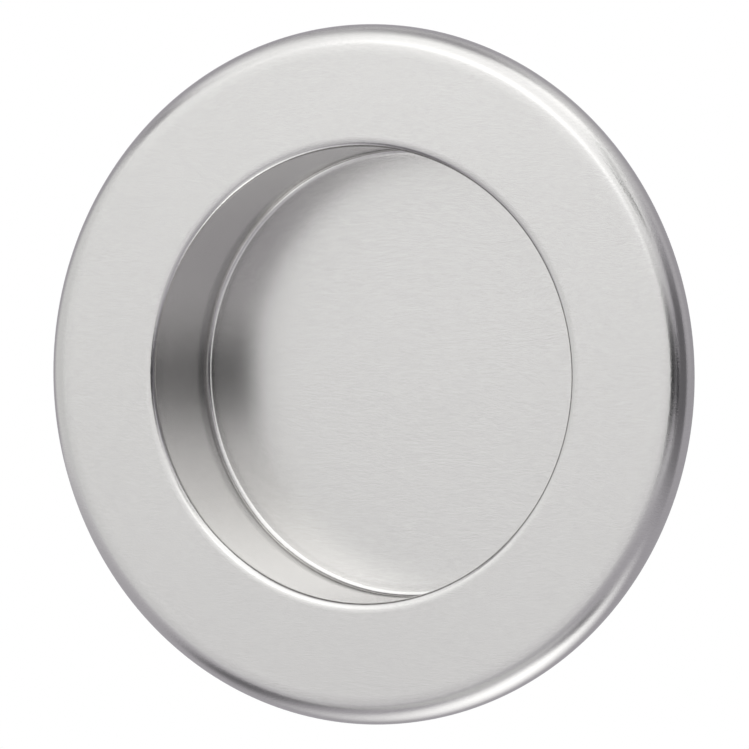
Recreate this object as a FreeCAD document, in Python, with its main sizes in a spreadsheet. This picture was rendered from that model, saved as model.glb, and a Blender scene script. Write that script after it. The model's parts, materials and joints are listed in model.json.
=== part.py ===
import FreeCAD, Part
import enum
import math
import os
import Sketcher

# Round recessed pull for a pocket door, pressed from one disc of sheet metal.
# The frame is the installed one: +Z up, the visible face towards -Y and the axis of the pull along Y.
# The origin lies on the axis in the plane of the door's surface, where the turned rim meets the door.
# Lengths are in millimetres.

NODE_NAME = "pull_shell"

# Driving dimensions, one row of the spreadsheet each: alias, value, what it measures.
DIMENSIONS = [
    ("outer_diameter", 65.0, "across the turned rim"),
    ("recess_diameter", 42.5, "inside of the cup's straight wall"),
    ("recess_depth", 11.5, "from the flange's face to the cup's floor"),
    ("rim_height", 2.35, "how far the flange's face stands off the door"),
    ("sheet_thickness", 0.6, "of the pressed sheet, the same all over"),
    ("edge_bend_radius", 2.0, "visible radius where the flange turns back to the door"),
    ("mouth_bend_radius", 0.8, "visible radius where the flange turns into the cup"),
    ("floor_bend_radius", 0.6, "visible radius between the cup's wall and floor"),
    ("deburr_size", 0.1, "bevel on the two corners of the rim's cut edge"),
]

SIZES_NAME = "Sizes"


class Axis(enum.IntEnum):
    """The sketch's own two axes, as constraints name them. Both start at its origin."""

    DOOR_LINE = -1
    PULL_AXIS = -2


class Point(enum.IntEnum):
    """Which point of a sketch element a constraint names."""

    START = 1
    END = 2
    CENTRE = 3


def add_sizes(doc):
    """Put the driving dimensions in a spreadsheet, with an alias for each value."""
    sizes = doc.addObject("Spreadsheet::Sheet", SIZES_NAME)
    for row, (alias, value, meaning) in enumerate(DIMENSIONS, start=1):
        sizes.set(f"A{row}", alias)
        sizes.set(f"B{row}", str(value))
        sizes.set(f"C{row}", meaning)
        sizes.setAlias(f"B{row}", alias)
    doc.recompute()
    return sizes


def origin_feature(body, role):
    """Find one of the body's own origin planes or axes."""
    return next(item for item in body.Origin.OriginFeatures if item.Role == role)


class Outline:
    """A closed outline drawn run by run, each run starting where the last one ended."""

    def __init__(self, sketch):
        self.sketch = sketch
        self.runs = []

    def line(self, start, end):
        """Add a straight run and return its element number."""
        segment = Part.LineSegment(FreeCAD.Vector(*start, 0), FreeCAD.Vector(*end, 0))
        element = self.sketch.addGeometry(segment)
        self.runs.append((element, Point.START, Point.END, "line"))
        return element

    def bend(self, centre, radius, first_angle, last_angle):
        """Add a round run between two angles in degrees, drawn either way round."""
        circle = Part.Circle(FreeCAD.Vector(*centre, 0), FreeCAD.Vector(0, 0, 1), radius)
        low = math.radians(min(first_angle, last_angle))
        high = math.radians(max(first_angle, last_angle))
        element = self.sketch.addGeometry(Part.ArcOfCircle(circle, low, high))
        entry, leaving = (Point.START, Point.END) if first_angle < last_angle else (Point.END, Point.START)
        self.runs.append((element, entry, leaving, "bend"))
        return element

    def join(self):
        """Join each run to the next: smoothly at a bend, corner to corner between two lines."""
        for run, following in zip(self.runs, self.runs[1:] + self.runs[:1]):
            kind = "Tangent" if "bend" in (run[3], following[3]) else "Coincident"
            self.sketch.addConstraint(Sketcher.Constraint(kind, run[0], run[2], following[0], following[1]))


def bind(sketch, name, formula, *constraint):
    """Add a named dimension to the sketch and tie it to the spreadsheet."""
    index = sketch.addConstraint(Sketcher.Constraint(*constraint))
    sketch.renameConstraint(index, name)
    sketch.setExpression(f"Constraints.{name}", formula)


def draw_section(sketch, sizes):
    """Draw the pressing's half section: across is the distance from the axis, up is the depth into the door.

    The visible side runs from the middle of the cup's floor out to the rim, and the hidden side runs back.
    Each hidden bend shares its centre with the visible one, so the sheet is equally thick all the way.
    """
    thickness = sizes.sheet_thickness
    rim = sizes.outer_diameter / 2
    wall = sizes.recess_diameter / 2
    face = -sizes.rim_height
    floor = face + sizes.recess_depth
    edge_centre = (rim - sizes.edge_bend_radius, face + sizes.edge_bend_radius)
    mouth_centre = (wall + sizes.mouth_bend_radius, face + sizes.mouth_bend_radius)
    corner_centre = (wall - sizes.floor_bend_radius, floor - sizes.floor_bend_radius)

    outline = Outline(sketch)
    floor_front = outline.line((0, floor), (corner_centre[0], floor))
    corner_front = outline.bend(corner_centre, sizes.floor_bend_radius, 90, 0)
    wall_front = outline.line((wall, corner_centre[1]), (wall, mouth_centre[1]))
    mouth_front = outline.bend(mouth_centre, sizes.mouth_bend_radius, 180, 270)
    flange_front = outline.line((mouth_centre[0], face), (edge_centre[0], face))
    edge_front = outline.bend(edge_centre, sizes.edge_bend_radius, 270, 360)
    rim_front = outline.line((rim, edge_centre[1]), (rim, 0))
    cut_edge = outline.line((rim, 0), (rim - thickness, 0))
    rim_back = outline.line((rim - thickness, 0), (rim - thickness, edge_centre[1]))
    edge_back = outline.bend(edge_centre, sizes.edge_bend_radius - thickness, 360, 270)
    flange_back = outline.line((edge_centre[0], face + thickness), (mouth_centre[0], face + thickness))
    mouth_back = outline.bend(mouth_centre, sizes.mouth_bend_radius - thickness, 270, 180)
    wall_back = outline.line((wall + thickness, mouth_centre[1]), (wall + thickness, corner_centre[1]))
    corner_back = outline.bend(corner_centre, sizes.floor_bend_radius + thickness, 0, 90)
    floor_back = outline.line((corner_centre[0], floor + thickness), (0, floor + thickness))
    axis_line = outline.line((0, floor + thickness), (0, floor))
    outline.join()

    for level in (floor_front, flange_front, cut_edge, flange_back, floor_back):
        sketch.addConstraint(Sketcher.Constraint("Horizontal", level))
    for upright in (wall_front, rim_front, rim_back, wall_back, axis_line):
        sketch.addConstraint(Sketcher.Constraint("Vertical", upright))
    for visible, hidden in ((corner_front, corner_back), (mouth_front, mouth_back), (edge_front, edge_back)):
        sketch.addConstraint(Sketcher.Constraint("Coincident", visible, Point.CENTRE, hidden, Point.CENTRE))
    sketch.addConstraint(Sketcher.Constraint("PointOnObject", axis_line, Point.START, Axis.PULL_AXIS))
    sketch.addConstraint(Sketcher.Constraint("PointOnObject", cut_edge, Point.START, Axis.DOOR_LINE))

    bind(sketch, "OuterRadius", f"{SIZES_NAME}.outer_diameter / 2",
         "DistanceX", Axis.PULL_AXIS, Point.START, rim_front, Point.START, rim)
    bind(sketch, "RecessRadius", f"{SIZES_NAME}.recess_diameter / 2",
         "DistanceX", Axis.PULL_AXIS, Point.START, wall_front, Point.START, wall)
    bind(sketch, "RimHeight", f"{SIZES_NAME}.rim_height",
         "DistanceY", flange_front, Point.END, cut_edge, Point.START, sizes.rim_height)
    bind(sketch, "RecessDepth", f"{SIZES_NAME}.recess_depth",
         "DistanceY", flange_front, Point.START, floor_front, Point.END, sizes.recess_depth)
    bind(sketch, "SheetThickness", f"{SIZES_NAME}.sheet_thickness",
         "DistanceX", cut_edge, Point.END, cut_edge, Point.START, thickness)
    bind(sketch, "EdgeBend", f"{SIZES_NAME}.edge_bend_radius",
         "Radius", edge_front, sizes.edge_bend_radius)
    bind(sketch, "MouthBend", f"{SIZES_NAME}.mouth_bend_radius",
         "Radius", mouth_front, sizes.mouth_bend_radius)
    bind(sketch, "FloorBend", f"{SIZES_NAME}.floor_bend_radius",
         "Radius", corner_front, sizes.floor_bend_radius)


def cut_edge_corners(pressing, sizes):
    """Name the two circular corners of the rim's cut edge, which lies in the door's plane."""
    tolerance = sizes.sheet_thickness / 100
    names = []
    for number, edge in enumerate(pressing.Shape.Edges, start=1):
        bounds = edge.BoundBox
        if abs(bounds.YMin) < tolerance and abs(bounds.YMax) < tolerance:
            if bounds.XLength > sizes.recess_diameter:
                names.append(f"Edge{number}")
    return names


def add_pull_shell(doc, sizes):
    """The whole pull: a revolved pressing with its cut edge deburred."""
    body = doc.addObject("PartDesign::Body", "PullShell")
    body.Label = NODE_NAME
    body.Placement = FreeCAD.Placement()

    section = body.newObject("Sketcher::SketchObject", "HalfSection")
    section.AttachmentSupport = [(origin_feature(body, "XY_Plane"), "")]
    section.MapMode = "FlatFace"
    draw_section(section, sizes)
    doc.recompute()

    pressing = body.newObject("PartDesign::Revolution", "Pressing")
    pressing.Profile = section
    pressing.ReferenceAxis = (section, ["V_Axis"])
    pressing.Angle = 360
    doc.recompute()

    deburr = body.newObject("PartDesign::Chamfer", "DeburredEdge")
    deburr.Base = (pressing, cut_edge_corners(pressing, sizes))
    deburr.setExpression("Size", f"{SIZES_NAME}.deburr_size")
    body.Tip = deburr
    doc.recompute()
    return body


def check_document(doc):
    """Stop if any object failed to compute or a sketch is left loose."""
    for item in doc.Objects:
        if "Invalid" in item.State or "Error" in item.State:
            raise RuntimeError(f"{item.Label} did not compute: {item.State}")
        if item.TypeId == "Sketcher::SketchObject" and not item.FullyConstrained:
            raise RuntimeError(f"{item.Label} is not fully constrained")


def check_solid(body):
    """Stop unless the sub-part is one valid solid."""
    shape = body.Shape
    if shape.isNull() or not shape.isValid() or len(shape.Solids) != 1:
        raise RuntimeError(f"{body.Label} is not one valid solid")


def export_parts(bodies):
    """Write each sub-part to a STEP file named after its label."""
    os.makedirs("parts", exist_ok=True)
    for body in bodies:
        body.Shape.exportStep(f"parts/{body.Label}.step")
        print(f"{body.Label}: {body.Shape.Volume:.1f} mm3, {len(body.Shape.Faces)} faces")


def main():
    doc = FreeCAD.newDocument("PocketDoorPull")
    sizes = add_sizes(doc)
    bodies = [add_pull_shell(doc, sizes)]
    check_document(doc)
    for body in bodies:
        check_solid(body)
    export_parts(bodies)


main()
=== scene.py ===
import json
import math
import bpy
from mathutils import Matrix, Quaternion, Vector


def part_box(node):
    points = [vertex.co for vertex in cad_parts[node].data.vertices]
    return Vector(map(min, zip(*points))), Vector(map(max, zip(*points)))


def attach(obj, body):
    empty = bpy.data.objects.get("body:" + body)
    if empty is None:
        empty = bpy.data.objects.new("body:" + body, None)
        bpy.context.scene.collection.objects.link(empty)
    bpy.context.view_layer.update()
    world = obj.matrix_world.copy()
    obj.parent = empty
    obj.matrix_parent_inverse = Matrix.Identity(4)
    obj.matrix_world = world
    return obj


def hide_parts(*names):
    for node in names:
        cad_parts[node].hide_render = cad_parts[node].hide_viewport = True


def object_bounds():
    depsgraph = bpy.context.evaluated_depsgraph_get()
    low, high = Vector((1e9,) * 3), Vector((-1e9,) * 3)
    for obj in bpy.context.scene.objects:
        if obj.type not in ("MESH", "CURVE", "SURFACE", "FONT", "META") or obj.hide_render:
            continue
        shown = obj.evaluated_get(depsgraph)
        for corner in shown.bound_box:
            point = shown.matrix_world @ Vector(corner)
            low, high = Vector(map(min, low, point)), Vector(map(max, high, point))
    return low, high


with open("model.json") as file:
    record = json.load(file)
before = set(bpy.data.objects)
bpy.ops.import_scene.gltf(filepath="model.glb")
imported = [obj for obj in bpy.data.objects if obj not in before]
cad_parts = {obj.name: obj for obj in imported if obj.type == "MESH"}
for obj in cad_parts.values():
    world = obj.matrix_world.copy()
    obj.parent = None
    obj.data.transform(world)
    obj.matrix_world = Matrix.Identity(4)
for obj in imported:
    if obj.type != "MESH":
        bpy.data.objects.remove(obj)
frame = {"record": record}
cad_low, cad_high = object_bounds()

MM = 0.001
PULL_MIDDLE = Vector((0.0, cad_low.y, 0.0))
FLOOR_DROP = 130.0 * MM
MAT_STEP = 0.2 * MM

# The pressing's own sizes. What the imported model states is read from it; the rest follows the part's source.
NODE = "pull_shell"
SHEET = 0.6 * MM
EDGE_BEND = 2.0 * MM
EDGE_LEAD = 14.7 * MM
EDGE_LEAD_TURN = 3.5
WALL_INSET = 0.14 * MM
MOUTH_BEND = 0.60 * MM
MOUTH_LEAD = 3.0 * MM
MOUTH_LEAD_TURN = 9.0
MOUTH_TAIL = 1.5 * MM
MOUTH_TAIL_TURN = 6.0
FLOOR_BEND = 0.5 * MM
FLOOR_TAIL = 1.0 * MM
FLOOR_TAIL_TURN = 4.0
DEBURR = 0.1 * MM

# The camera, fitted to the outline of the rim and of the recess.
CAMERA_AZIMUTH = 24.49
CAMERA_ELEVATION = 1.16
CAMERA_DISTANCE = 0.600
LENS = 311.7
SENSOR = 36.0
SHIFT_X = 0.0213
SHIFT_Y = 0.00075

# The dark cards are a little violet, the pale ones plain white.
DARK_LEVEL = 0.60
DARK_TINT = (1.0, 0.965, 1.035, 1.0)
PLAIN_WHITE = (1.0, 1.0, 1.0, 1.0)


def mount(name):
    """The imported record's mount of that name."""
    return next(m for m in frame["record"]["mounts"] if m["name"] == name)


def shell_sizes():
    """The section's sizes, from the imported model's box and from the mount on the cup's outside."""
    low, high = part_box(NODE)
    cup_radius = mount("cup_body")["dims"]["r_mm"] * MM
    return {
        "Outer Diameter": high.x - low.x,
        "Recess Diameter": 2 * (cup_radius - SHEET),
        "Recess Depth": high.y - low.y - SHEET,
        "Rim Height": -low.y,
        "Sheet Thickness": SHEET,
        "Wall Inset": WALL_INSET,
        "Edge Bend": EDGE_BEND,
        "Edge Lead": EDGE_LEAD,
        "Edge Lead Turn": math.radians(EDGE_LEAD_TURN),
        "Mouth Bend": MOUTH_BEND,
        "Mouth Lead": MOUTH_LEAD,
        "Mouth Lead Turn": math.radians(MOUTH_LEAD_TURN),
        "Mouth Tail": MOUTH_TAIL,
        "Mouth Tail Turn": math.radians(MOUTH_TAIL_TURN),
        "Floor Bend": FLOOR_BEND,
        "Floor Tail": FLOOR_TAIL,
        "Floor Tail Turn": math.radians(FLOOR_TAIL_TURN),
        "Deburr": DEBURR,
    }


class Nodes:
    """A short way to add and join nodes in one tree."""

    def __init__(self, tree):
        self.tree = tree

    def add(self, kind, *inputs, **settings):
        """Add a node, set its properties, then feed its inputs in order; None leaves one as it is."""
        node = self.tree.nodes.new(kind)
        for name, value in settings.items():
            setattr(node, name, value)
        for socket, value in zip(node.inputs, inputs):
            self.feed(socket, value)
        return node

    def feed(self, socket, value):
        """Join a socket to another one, or give it a plain value."""
        if isinstance(value, bpy.types.NodeSocket):
            self.tree.links.new(value, socket)
        elif value is not None:
            socket.default_value = value

    def math(self, operation, *values):
        """One Math node, and its result."""
        return self.add("ShaderNodeMath", *values, operation=operation).outputs[0]

    def plus(self, a, b):
        return self.math("ADD", a, b)

    def minus(self, a, b):
        return self.math("SUBTRACT", a, b)

    def times(self, a, b):
        return self.math("MULTIPLY", a, b)

    def smoothstep(self, value, low, high):
        """0 below low, 1 above high and a soft step between."""
        node = self.add("ShaderNodeMapRange", interpolation_type="SMOOTHSTEP")
        self.feed(node.inputs["Value"], value)
        self.feed(node.inputs["From Min"], low)
        self.feed(node.inputs["From Max"], high)
        return node.outputs["Result"]

    def remap(self, value, low, high, to_low, to_high):
        """A clamped straight-line change of range."""
        node = self.add("ShaderNodeMapRange")
        self.feed(node.inputs["Value"], value)
        self.feed(node.inputs["From Min"], low)
        self.feed(node.inputs["From Max"], high)
        self.feed(node.inputs["To Min"], to_low)
        self.feed(node.inputs["To Max"], to_high)
        return node.outputs["Result"]


# The shell: one section of the sheet, turned about the pull's axis.

def eased_corner(n, bend, lead=0.0, lead_turn=0.0, tail=0.0, tail_turn=0.0):
    """A right-angled corner taken in turns: an easy lead off the flat side, a tight bend, an easy tail to the wall.

    Gives the corners of the three turns, each as how far it lies from the wall and how far below the flat side.
    """
    bend_turn = n.minus(n.minus(math.pi / 2, lead_turn), tail_turn)
    half_bend = n.times(bend, n.math("TANGENT", n.times(bend_turn, 0.5)))
    flat_run = n.plus(n.times(lead, n.math("TANGENT", n.times(lead_turn, 0.5))), half_bend)
    wall_run = n.plus(n.times(tail, n.math("TANGENT", n.times(tail_turn, 0.5))), half_bend)
    out = n.times(wall_run, n.math("SINE", tail_turn))
    down = n.times(flat_run, n.math("SINE", lead_turn))
    lead_corner = (n.plus(out, n.times(flat_run, n.math("COSINE", lead_turn))), 0.0)
    tail_corner = (0.0, n.plus(down, n.times(wall_run, n.math("COSINE", tail_turn))))
    return lead_corner, (out, down), tail_corner


def section_corners(n, size):
    """The section's corners before its bends are rounded, from the middle of the cup's floor round to its back.

    Each is its distance from the axis, its depth into the door, its bend radius and its bend steps.
    """
    sheet, bevel = size["Sheet Thickness"], size["Deburr"]
    rim = n.times(size["Outer Diameter"], 0.5)
    rim_back = n.minus(rim, sheet)
    cup = n.times(size["Recess Diameter"], 0.5)
    wall = n.minus(cup, size["Wall Inset"])
    wall_back = n.plus(cup, sheet)
    face = n.times(size["Rim Height"], -1.0)
    face_back = n.plus(face, sheet)
    floor = n.plus(face, size["Recess Depth"])
    floor_back = n.plus(floor, sheet)
    bevel_depth = n.times(bevel, -1.0)
    _, floor_bend, floor_tail = eased_corner(n, size["Floor Bend"], tail=size["Floor Tail"],
                                             tail_turn=size["Floor Tail Turn"])
    mouth_lead, mouth_bend, mouth_tail = eased_corner(n, size["Mouth Bend"], size["Mouth Lead"],
                                                      size["Mouth Lead Turn"], size["Mouth Tail"],
                                                      size["Mouth Tail Turn"])
    edge_lead, edge_bend, _ = eased_corner(n, size["Edge Bend"], size["Edge Lead"], size["Edge Lead Turn"])
    fine, plain, none = size["Bend Steps"], n.times(size["Bend Steps"], 0.5), 0
    return [
        (0.0, floor, 0.0, none),
        (n.minus(wall, floor_bend[0]), floor, size["Floor Bend"], fine),
        (wall, n.minus(floor, floor_tail[1]), size["Floor Tail"], plain),
        (wall, n.plus(face, mouth_tail[1]), size["Mouth Tail"], plain),
        (n.plus(wall, mouth_bend[0]), n.plus(face, mouth_bend[1]), size["Mouth Bend"], fine),
        (n.plus(wall, mouth_lead[0]), face, size["Mouth Lead"], plain),
        (n.minus(rim, edge_lead[0]), face, size["Edge Lead"], plain),
        (rim, n.plus(face, edge_bend[1]), size["Edge Bend"], fine),
        (rim, bevel_depth, 0.0, none),
        (n.minus(rim, bevel), 0.0, 0.0, none),
        (n.plus(rim_back, bevel), 0.0, 0.0, none),
        (rim_back, bevel_depth, 0.0, none),
        (rim_back, face_back, n.minus(size["Edge Bend"], sheet), plain),
        (wall_back, face_back, n.times(sheet, 0.5), plain),
        (wall_back, floor_back, n.plus(size["Floor Bend"], sheet), plain),
        (0.0, floor_back, 0.0, none),
    ]


def by_index(n, kind, values):
    """An Index Switch that gives each point its own value from a list."""
    switch = n.add("GeometryNodeIndexSwitch", data_type=kind)
    while len(switch.index_switch_items) < len(values):
        switch.index_switch_items.new()
    n.feed(switch.inputs["Index"], n.add("GeometryNodeInputIndex").outputs[0])
    for number, value in enumerate(values):
        n.feed(switch.inputs[number + 1], value)
    return switch.outputs[0]


def on_the_back(n, size):
    """Picks the faces of the hidden side: they look into the door, out of the cup or in from the rim."""
    normal = n.add("GeometryNodeInputNormal").outputs[0]
    here = n.add("ShaderNodeSeparateXYZ", n.add("GeometryNodeInputPosition").outputs[0]).outputs
    flat = n.add("ShaderNodeCombineXYZ", here["X"], 0.0, here["Z"]).outputs[0]
    outward = n.add("ShaderNodeVectorMath", flat, operation="NORMALIZE").outputs[0]
    out = n.add("ShaderNodeVectorMath", normal, outward, operation="DOT_PRODUCT").outputs["Value"]
    inward = n.add("ShaderNodeSeparateXYZ", normal).outputs["Y"]
    across = n.add("ShaderNodeVectorMath", flat, operation="LENGTH").outputs["Value"]
    flange_middle = n.times(n.plus(size["Outer Diameter"], size["Recess Diameter"]), 0.25)
    side = n.minus(1.0, n.times(n.math("GREATER_THAN", across, flange_middle), 2.0))
    return n.math("GREATER_THAN", n.plus(inward, n.times(out, side)), 0.01)


def shell_tree():
    """Geometry Nodes for the pressing: corners, bends, finer runs, then the turn about the axis."""
    tree = bpy.data.node_groups.new("pressed_shell", "GeometryNodeTree")
    names = ["Outer Diameter", "Recess Diameter", "Recess Depth", "Rim Height", "Sheet Thickness", "Wall Inset",
             "Edge Bend", "Edge Lead", "Edge Lead Turn", "Mouth Bend", "Mouth Lead", "Mouth Lead Turn",
             "Mouth Tail", "Mouth Tail Turn", "Floor Bend", "Floor Tail", "Floor Tail Turn", "Deburr",
             "Longest Step"]
    for name in names:
        tree.interface.new_socket(name, in_out="INPUT", socket_type="NodeSocketFloat")
    for name in ("Bend Steps", "Steps Around"):
        tree.interface.new_socket(name, in_out="INPUT", socket_type="NodeSocketInt")
    for name in ("Face Finish", "Back Finish"):
        tree.interface.new_socket(name, in_out="INPUT", socket_type="NodeSocketMaterial")
    tree.interface.new_socket("Geometry", in_out="OUTPUT", socket_type="NodeSocketGeometry")
    n = Nodes(tree)
    size = n.add("NodeGroupInput").outputs

    corners = section_corners(n, size)
    places = [n.add("ShaderNodeCombineXYZ", across, depth, 0.0).outputs[0] for across, depth, _, _ in corners]
    line = n.add("GeometryNodeMeshLine", len(corners)).outputs[0]
    placed = n.add("GeometryNodeSetPosition", line, None, by_index(n, "VECTOR", places)).outputs[0]
    outline = n.add("GeometryNodeMeshToCurve", placed).outputs[0]
    radii = by_index(n, "FLOAT", [radius for _, _, radius, _ in corners])
    steps = by_index(n, "INT", [count for _, _, _, count in corners])
    bent = n.add("GeometryNodeFilletCurve", mode="POLY")
    n.feed(bent.inputs["Curve"], outline)
    n.feed(bent.inputs["Radius"], radii)
    n.feed(bent.inputs["Count"], steps)

    here = n.add("GeometryNodeInputPosition").outputs[0]
    index = n.add("GeometryNodeInputIndex").outputs[0]
    following = n.add("GeometryNodeFieldAtIndex", data_type="FLOAT_VECTOR", domain="POINT")
    n.feed(following.inputs["Value"], here)
    n.feed(following.inputs["Index"], n.plus(index, 1.0))
    run = n.add("ShaderNodeVectorMath", following.outputs[0], here, operation="DISTANCE").outputs["Value"]
    cuts = n.math("FLOOR", n.math("DIVIDE", run, size["Longest Step"]))
    fine = n.add("GeometryNodeSubdivideCurve", bent.outputs[0], cuts).outputs[0]

    count = n.add("GeometryNodeAttributeDomainSize", fine, component="CURVE").outputs["Point Count"]
    columns = n.plus(size["Steps Around"], 1.0)
    grid = n.add("GeometryNodeMeshGrid", 1.0, 1.0, count, columns).outputs[0]
    row = n.math("FLOOR", n.math("DIVIDE", n.plus(index, 0.5), columns))
    column = n.minus(index, n.times(row, columns))
    angle = n.times(n.math("DIVIDE", column, size["Steps Around"]), 2 * math.pi)
    sample = n.add("GeometryNodeSampleIndex", data_type="FLOAT_VECTOR", domain="POINT")
    n.feed(sample.inputs["Geometry"], fine)
    n.feed(sample.inputs["Value"], here)
    n.feed(sample.inputs["Index"], row)
    point = n.add("ShaderNodeSeparateXYZ", sample.outputs[0]).outputs
    across, depth = point["X"], point["Y"]
    turned = n.add("ShaderNodeCombineXYZ", n.times(across, n.math("COSINE", angle)), depth,
                   n.times(across, n.math("SINE", angle))).outputs[0]
    revolved = n.add("GeometryNodeSetPosition", grid, None, turned).outputs[0]
    closed = n.add("GeometryNodeMergeByDistance", revolved)
    n.feed(closed.inputs["Distance"], 1e-6)
    smooth = n.add("GeometryNodeSetShadeSmooth", closed.outputs[0], None, True, domain="FACE").outputs[0]
    turn = n.add("GeometryNodeInputMeshEdgeAngle").outputs["Unsigned Angle"]
    sharp = n.math("GREATER_THAN", turn, math.radians(30.0))
    crisp = n.add("GeometryNodeSetShadeSmooth", smooth, sharp, False, domain="EDGE").outputs[0]
    whole = n.add("GeometryNodeRealizeInstances", crisp).outputs[0]
    faced = n.add("GeometryNodeSetMaterial", whole, None, size["Face Finish"]).outputs[0]
    backed = n.add("GeometryNodeSetMaterial", faced, on_the_back(n, size), size["Back Finish"]).outputs[0]
    n.add("NodeGroupOutput", backed)
    return tree


def from_tree(name, tree, inputs):
    """Run a tree on an empty mesh and keep its result as a plain mesh object."""
    maker = bpy.data.objects.new(name + "_maker", bpy.data.meshes.new(name + "_maker"))
    bpy.context.scene.collection.objects.link(maker)
    modifier = maker.modifiers.new("shape", "NODES")
    modifier.node_group = tree
    for item in tree.interface.items_tree:
        if item.in_out == "INPUT" and item.name in inputs:
            modifier[item.identifier] = inputs[item.name]
    graph = bpy.context.evaluated_depsgraph_get()
    mesh = bpy.data.meshes.new_from_object(maker.evaluated_get(graph))
    mesh.name = name
    bpy.data.objects.remove(maker)
    piece = bpy.data.objects.new(name, mesh)
    bpy.context.scene.collection.objects.link(piece)
    return piece


# Finishes

def new_material(name):
    """An empty node material and the short way to fill it."""
    material = bpy.data.materials.new(name)
    material.use_nodes = True
    material.node_tree.nodes.clear()
    return material, Nodes(material.node_tree)


def noise(n, vector, scale, detail):
    """A plain noise's value at a place."""
    node = n.add("ShaderNodeTexNoise", noise_dimensions="3D")
    n.feed(node.inputs["Vector"], vector)
    n.feed(node.inputs["Scale"], scale)
    n.feed(node.inputs["Detail"], detail)
    return node.outputs["Fac"]


def metal_grain():
    """A node group: the fine pits of a satin finish, the faint brush lines along X, and slow cloudiness."""
    group = bpy.data.node_groups.new("metal_grain", "ShaderNodeTree")
    for name in ("Pits Per Metre", "Lines Per Metre", "Line Length", "Clouds Per Metre"):
        group.interface.new_socket(name, in_out="INPUT", socket_type="NodeSocketFloat")
    for name in ("Pits", "Lines", "Clouds"):
        group.interface.new_socket(name, in_out="OUTPUT", socket_type="NodeSocketFloat")
    n = Nodes(group)
    size = n.add("NodeGroupInput").outputs
    place = n.add("ShaderNodeTexCoord").outputs["Object"]
    part = n.add("ShaderNodeSeparateXYZ", place).outputs
    shorter = n.math("DIVIDE", 1.0, size["Line Length"])
    drawn_out = n.add("ShaderNodeCombineXYZ", n.times(part["X"], shorter), n.times(part["Y"], shorter),
                      part["Z"]).outputs[0]
    n.add("NodeGroupOutput",
          noise(n, place, size["Pits Per Metre"], 1.0),
          noise(n, drawn_out, size["Lines Per Metre"], 2.0),
          noise(n, place, size["Clouds Per Metre"], 3.0))
    return group


def grained(n, grain, pits, lines, length, clouds):
    """Place the grain group in a material with its own values."""
    node = n.add("ShaderNodeGroup", node_tree=grain)
    for name, value in (("Pits Per Metre", pits), ("Lines Per Metre", lines), ("Line Length", length),
                        ("Clouds Per Metre", clouds)):
        n.feed(node.inputs[name], value)
    return node.outputs


def about_one(n, value, amount):
    """A factor that swings about 1 as a noise value swings about its middle."""
    return n.plus(1.0, n.times(n.minus(value, 0.5), amount))


def shaded(n, colour, factor):
    """A colour made lighter or darker by a factor."""
    return n.add("ShaderNodeVectorMath", colour, None, None, factor, operation="SCALE").outputs[0]


def ring_mask(n, radius, depth, reach):
    """1 on a circle about the pull's axis, falling to 0 at a distance from it."""
    part = n.add("ShaderNodeSeparateXYZ", n.add("ShaderNodeTexCoord").outputs["Object"]).outputs
    flat = n.add("ShaderNodeCombineXYZ", part["X"], part["Z"], 0.0).outputs[0]
    across = n.minus(n.add("ShaderNodeVectorMath", flat, operation="LENGTH").outputs["Value"], radius)
    away = n.add("ShaderNodeCombineXYZ", across, n.minus(part["Y"], depth), 0.0).outputs[0]
    return n.minus(1.0, n.smoothstep(n.add("ShaderNodeVectorMath", away, operation="LENGTH").outputs["Value"],
                                     0.3 * reach, reach))


def finish_zones(n, sizes):
    """Two masks: the edge bend, burnished where it slid over the die, and the cup, where the press left it duller."""
    part = n.add("ShaderNodeSeparateXYZ", n.add("ShaderNodeTexCoord").outputs["Object"]).outputs
    flat = n.add("ShaderNodeCombineXYZ", part["X"], part["Z"], 0.0).outputs[0]
    across = n.add("ShaderNodeVectorMath", flat, operation="LENGTH").outputs["Value"]
    rim, face = sizes["Outer Diameter"] / 2, -sizes["Rim Height"]
    burnished = n.smoothstep(across, rim - 2.2 * MM, rim - 1.0 * MM)
    deep = n.smoothstep(part["Y"], face + 1.0 * MM, face + 3.0 * MM)
    return burnished, n.times(deep, n.minus(1.0, burnished))


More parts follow.
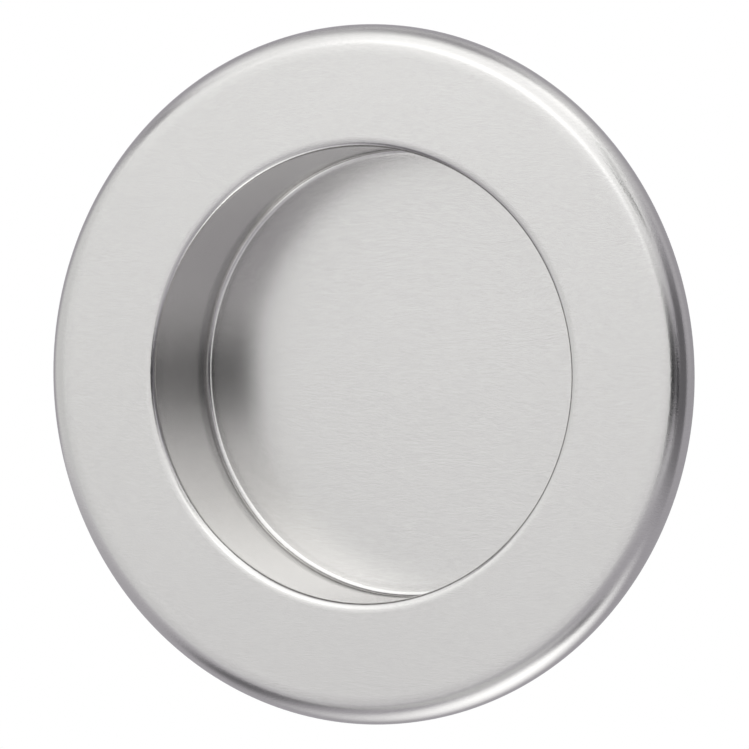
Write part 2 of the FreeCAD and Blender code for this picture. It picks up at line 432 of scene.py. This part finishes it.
def satin_steel(grain, sizes):
    """The visible side: satin steel with fine pits and faint brush lines.

    Its mouth is rubbed smoother by fingers and the floor's corner is polished by the punch that pressed it, which
    lowers their roughness; both also carry a painted highlight, their colour lightened. The wall just above that
    corner carries painted shade, its colour darkened.
    """
    material, n = new_material("satin_steel")
    look = grained(n, grain, 8500.0, 9500.0, 7.0, 90.0)
    cup, face = sizes["Recess Diameter"] / 2, -sizes["Rim Height"]
    floor = face + sizes["Recess Depth"]
    # The floor's corner ring: lower roughness, and through the mask below a painted highlight in the colour.
    polished_and_painted_highlight = ring_mask(n, cup - 0.3 * MM, floor, 0.8 * MM)
    # The mouth ring and the floor's corner ring: lower roughness from rubbing and polishing, and a painted highlight
    # in the colour.
    rubbed_and_painted_highlight = n.math("MAXIMUM", ring_mask(n, cup, face, 0.7 * MM), polished_and_painted_highlight)
    # Painted shade: a ring on the wall just above the floor's corner, kept off the polished corner itself.
    painted_corner_shade = n.times(ring_mask(n, cup, floor - 0.9 * MM, 1.7 * MM), n.minus(1.0, polished_and_painted_highlight))
    shade = n.times(about_one(n, look["Lines"], 0.15), about_one(n, look["Clouds"], 0.03))
    # Painted highlight: the colour is lightened by 6% on the mouth and on the floor's corner.
    shade = n.times(shade, n.plus(1.0, n.times(rubbed_and_painted_highlight, 0.06)))
    # Painted shade: the colour is darkened by up to 26% in that ring.
    shade = n.times(shade, n.minus(1.0, n.times(painted_corner_shade, 0.26)))
    rough = n.times(0.21, n.times(about_one(n, look["Clouds"], 0.15), about_one(n, look["Lines"], 0.15)))
    rough = n.times(rough, n.minus(1.0, n.times(rubbed_and_painted_highlight, 0.35)))
    burnished, in_cup = finish_zones(n, sizes)
    rough = n.times(rough, n.times(n.minus(1.0, n.times(burnished, 0.28)), n.plus(1.0, n.times(in_cup, 0.14))))
    bump = n.add("ShaderNodeBump")
    n.feed(bump.inputs["Height"], look["Pits"])
    n.feed(bump.inputs["Distance"], 8.8e-6)
    shader = n.add("ShaderNodeBsdfPrincipled")
    n.feed(shader.inputs["Base Color"], shaded(n, (0.700, 0.693, 0.681), shade))
    n.feed(shader.inputs["Metallic"], 1.0)
    n.feed(shader.inputs["Roughness"], rough)
    n.feed(shader.inputs["Normal"], bump.outputs[0])
    n.add("ShaderNodeOutputMaterial", shader.outputs[0])
    return material


def mill_steel(grain):
    """The hidden side: the sheet's own duller mill finish, with longer and deeper lines, and grey oil stains."""
    material, n = new_material("mill_steel")
    look = grained(n, grain, 3500.0, 2600.0, 12.0, 140.0)
    stains = n.smoothstep(look["Clouds"], 0.45, 0.65)
    shade = n.times(about_one(n, look["Lines"], 0.22), n.minus(1.0, n.times(stains, 0.10)))
    rough = n.plus(0.36, n.times(stains, 0.08))
    bump = n.add("ShaderNodeBump")
    n.feed(bump.inputs["Height"], n.plus(look["Pits"], look["Lines"]))
    n.feed(bump.inputs["Distance"], 8.0e-6)
    shader = n.add("ShaderNodeBsdfPrincipled")
    n.feed(shader.inputs["Base Color"], shaded(n, (0.560, 0.550, 0.535), shade))
    n.feed(shader.inputs["Metallic"], 1.0)
    n.feed(shader.inputs["Roughness"], rough)
    n.feed(shader.inputs["Normal"], bump.outputs[0])
    n.add("ShaderNodeOutputMaterial", shader.outputs[0])
    return material


# Studio: a pale floor, soft boxes and grey or dark cards round the object.

def direction(azimuth, elevation):
    """The direction to a point of the studio. Azimuth 0 is in front of the pull, 90 to its right."""
    a, e = math.radians(azimuth), math.radians(elevation)
    return Vector((math.sin(a) * math.cos(e), -math.cos(a) * math.cos(e), math.sin(e)))


def add_floor(low):
    """A pale floor below the pull, white to the camera far away and keeping the shadow near it."""
    size = 4.0
    mesh = bpy.data.meshes.new("floor")
    z = low.z - FLOOR_DROP
    mesh.from_pydata([(-size, -size, z), (size, -size, z), (size, size, z), (-size, size, z)], [], [(0, 1, 2, 3)])
    floor = bpy.data.objects.new("floor", mesh)
    bpy.context.scene.collection.objects.link(floor)
    material = bpy.data.materials.new("pale_floor")
    material.use_nodes = True
    material.node_tree.nodes.clear()
    n = Nodes(material.node_tree)
    place = n.add("ShaderNodeSeparateXYZ", n.add("ShaderNodeTexCoord").outputs["Object"]).outputs
    flat = n.add("ShaderNodeCombineXYZ", place["X"], place["Y"], 0.0).outputs[0]
    far = n.smoothstep(n.add("ShaderNodeVectorMath", flat, operation="LENGTH").outputs["Value"], 0.10, 0.30)
    seen = seen_plainly(n)
    paint = n.add("ShaderNodeBsdfDiffuse", (0.9, 0.9, 0.9, 1.0)).outputs[0]
    white = n.add("ShaderNodeEmission", (1.0, 1.0, 1.0, 1.0), 1.0).outputs[0]
    mixed = n.add("ShaderNodeMixShader", n.times(far, seen), paint, white).outputs[0]
    n.add("ShaderNodeOutputMaterial", mixed)
    mesh.materials.append(material)


def seen_plainly(n):
    """1 for camera, glossy and transmission rays, which see the plain white background."""
    path = n.add("ShaderNodeLightPath").outputs
    either = n.math("MAXIMUM", path["Is Camera Ray"], path["Is Glossy Ray"])
    return n.math("MAXIMUM", either, path["Is Transmission Ray"])


def add_world():
    """An even white surround."""
    world = bpy.data.worlds.new("studio")
    bpy.context.scene.world = world
    world.use_nodes = True
    world.node_tree.nodes.clear()
    n = Nodes(world.node_tree)
    light = n.add("ShaderNodeBackground", (1.0, 1.0, 1.0, 1.0), 1.0).outputs[0]
    n.add("ShaderNodeOutputWorld", light)


def soft_edges():
    """A node group: a mask over a card's own map, 1 in its middle and falling to 0 at its edges."""
    group = bpy.data.node_groups.new("soft_edges", "ShaderNodeTree")
    group.interface.new_socket("Fade", in_out="INPUT", socket_type="NodeSocketFloat")
    group.interface.new_socket("Mask", in_out="OUTPUT", socket_type="NodeSocketFloat")
    n = Nodes(group)
    fade = n.add("NodeGroupInput").outputs["Fade"]
    map_place = n.add("ShaderNodeSeparateXYZ", n.add("ShaderNodeUVMap").outputs[0]).outputs
    sides = []
    for axis in ("X", "Y"):
        from_middle = n.math("ABSOLUTE", n.minus(n.times(map_place[axis], 2.0), 1.0))
        sides.append(n.smoothstep(n.minus(1.0, from_middle), 0.0, fade))
    n.add("NodeGroupOutput", n.times(*sides))
    return group


def add_glow(name, points, across, level, fade, edges):
    """A grid of points as a card that only reflections see, at a plain level and fading out at its edges."""
    rows = len(points) // across
    faces = [(r * across + c, r * across + c + 1, (r + 1) * across + c + 1, (r + 1) * across + c)
             for r in range(rows - 1) for c in range(across - 1)]
    mesh = bpy.data.meshes.new(name)
    mesh.from_pydata(points, [], faces)
    chart = mesh.uv_layers.new(name="UVMap")
    for loop in mesh.loops:
        row, column = divmod(loop.vertex_index, across)
        chart.data[loop.index].uv = (column / (across - 1), row / (rows - 1))
    card = bpy.data.objects.new(name, mesh)
    bpy.context.scene.collection.objects.link(card)
    material = bpy.data.materials.new(name)
    material.use_nodes = True
    material.node_tree.nodes.clear()
    n = Nodes(material.node_tree)
    mask = n.add("ShaderNodeGroup", node_tree=edges)
    n.feed(mask.inputs["Fade"], fade)
    shader = n.add("ShaderNodeBsdfPrincipled")
    n.feed(shader.inputs["Base Color"], (0.0, 0.0, 0.0, 1.0))
    n.feed(shader.inputs["Specular IOR Level"], 0.0)
    n.feed(shader.inputs["Emission Color"], DARK_TINT if level < DARK_LEVEL else PLAIN_WHITE)
    n.feed(shader.inputs["Emission Strength"], level)
    n.feed(shader.inputs["Alpha"], mask.outputs["Mask"])
    n.add("ShaderNodeOutputMaterial", shader.outputs[0])
    mesh.materials.append(material)
    card.visible_camera = False
    card.visible_diffuse = False
    card.visible_shadow = False


def add_card(name, azimuth, elevation, distance, half_wide, half_high, fade, level, roll, edges):
    """A card curved about the pull. Its half width and half height are angles seen from the pull."""
    middle = direction(azimuth, elevation)
    turn = middle.to_track_quat("Z", "Y") @ Quaternion((0.0, 0.0, 1.0), math.radians(roll))
    across, rows = 33, 25
    points = []
    for row in range(rows):
        up = math.radians(half_high * (2 * row / (rows - 1) - 1))
        for column in range(across):
            side = math.radians(half_wide * (2 * column / (across - 1) - 1))
            local = Vector((math.cos(up) * math.sin(side), math.sin(up), math.cos(up) * math.cos(side)))
            points.append(PULL_MIDDLE + turn @ local * distance)
    add_glow(name, points, across, level, fade, edges)


def add_mat(name, x, y, half_wide, half_deep, fade, level, turned, lift, edges):
    """A mat that lies on the floor, turned about its own middle."""
    c, s = math.cos(math.radians(turned)), math.sin(math.radians(turned))
    points = []
    for v in (-half_deep, half_deep):
        for u in (-half_wide, half_wide):
            points.append((PULL_MIDDLE.x + x + u * c - v * s, PULL_MIDDLE.y + y + u * s + v * c, lift))
    add_glow(name, points, 2, level, fade, edges)


CARDS = [
    # name, azimuth, elevation, distance, half width, half height, fade, level, roll
    ("slot", 19.5, -1.6, 0.590, 9.0, 8.0, 0.25, 0.01, -10.0),
    ("lens", 30.1, 0.7, 0.600, 14.5, 13.8, 0.67, 0.08, 2.7),
    ("band", 48.3, -2.1, 0.640, 9.7, 11.4, 0.55, 0.04, 38.5),
    ("arc", 42.7, 40.7, 0.660, 17.8, 3.4, 0.11, 0.67, 50.3),
    ("blob_up", 35.4, 31.8, 0.680, 10.4, 2.9, 0.10, 0.01, 5.3),
    ("streak", -71.7, 28.7, 0.700, 32.0, 6.6, 0.97, 0.27, -8.0),
    ("dark_right", 75.2, -20.0, 0.740, 28.6, 57.1, 0.46, 0.15, -5.0),
    ("right", 85.2, -24.3, 0.780, 82.6, 58.9, 0.49, 0.44, -59.0),
    ("gap", 0.6, 45.5, 0.860, 84.8, 46.8, 0.94, 1.26, -19.2),
    ("top_box", 41.8, 61.4, 0.940, 22.5, 22.2, 0.72, 1.52, 79.0),
    ("left_box", -10.9, 35.1, 1.020, 25.1, 37.0, 0.75, 2.22, -4.2),
    ("front_left", -65.3, -3.0, 1.060, 48.9, 28.9, 0.60, 0.75, -31.6),
    ("ceiling", -13.0, 57.7, 1.100, 82.4, 41.4, 0.77, 0.29, -61.5),
    ("back_left", -130.6, 1.9, 1.180, 84.6, 71.1, 0.52, 0.45, -8.6),
    ("back_top", 150.7, 12.4, 1.260, 85.0, 82.5, 0.89, 0.43, 7.5),
]
MATS = [
    # name, right, back, half width, half depth, fade, level, turned: the first lies on top
    ("mat_low", 0.0779, -0.1121, 0.0570, 0.0977, 1.00, 0.19, -27.4),
    ("mat_dark", -0.1611, -0.1330, 0.0706, 0.1883, 0.81, 0.16, -2.0),
    ("mat_bright", 0.0384, -0.0297, 0.1415, 0.1726, 1.00, 1.57, 43.5),
    ("mat_right", 0.8466, -0.1246, 0.2808, 0.6527, 0.45, 0.21, 92.9),
    ("mat_front", -0.0799, -0.2534, 0.0530, 0.1497, 0.17, 0.65, -45.0),
    ("mat_back", 0.3879, 0.5582, 2.3705, 1.8947, 0.78, 0.45, 27.4),
]


def add_camera():
    """The photograph's viewpoint."""
    data = bpy.data.cameras.new("camera")
    data.sensor_width = SENSOR
    data.lens = LENS
    data.shift_x = SHIFT_X
    data.shift_y = SHIFT_Y
    data.clip_start = 0.01
    data.clip_end = 20.0
    camera = bpy.data.objects.new("camera", data)
    back = direction(CAMERA_AZIMUTH, CAMERA_ELEVATION)
    camera.location = PULL_MIDDLE + back * CAMERA_DISTANCE
    camera.rotation_mode = "QUATERNION"
    camera.rotation_quaternion = back.to_track_quat("Z", "Y")
    bpy.context.scene.collection.objects.link(camera)
    bpy.context.scene.camera = camera


def main():
    sizes = shell_sizes()
    grain = metal_grain()
    shell = from_tree("pull_shell_satin", shell_tree(), {
        **sizes, "Longest Step": 1.0 * MM, "Bend Steps": 24, "Steps Around": 240,
        "Face Finish": satin_steel(grain, sizes), "Back Finish": mill_steel(grain),
    })
    print("shell", len(shell.data.vertices), "points", len(shell.data.polygons), "faces")
    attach(shell, "root")
    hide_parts(NODE)
    add_world()
    add_floor(cad_low)
    edges = soft_edges()
    for card in CARDS:
        add_card(*card, edges)
    for layer, mat in enumerate(reversed(MATS), start=1):
        add_mat(*mat, cad_low.z - FLOOR_DROP + layer * MAT_STEP, edges)
    add_camera()
    bpy.context.scene.view_settings.view_transform = "Standard"


main()
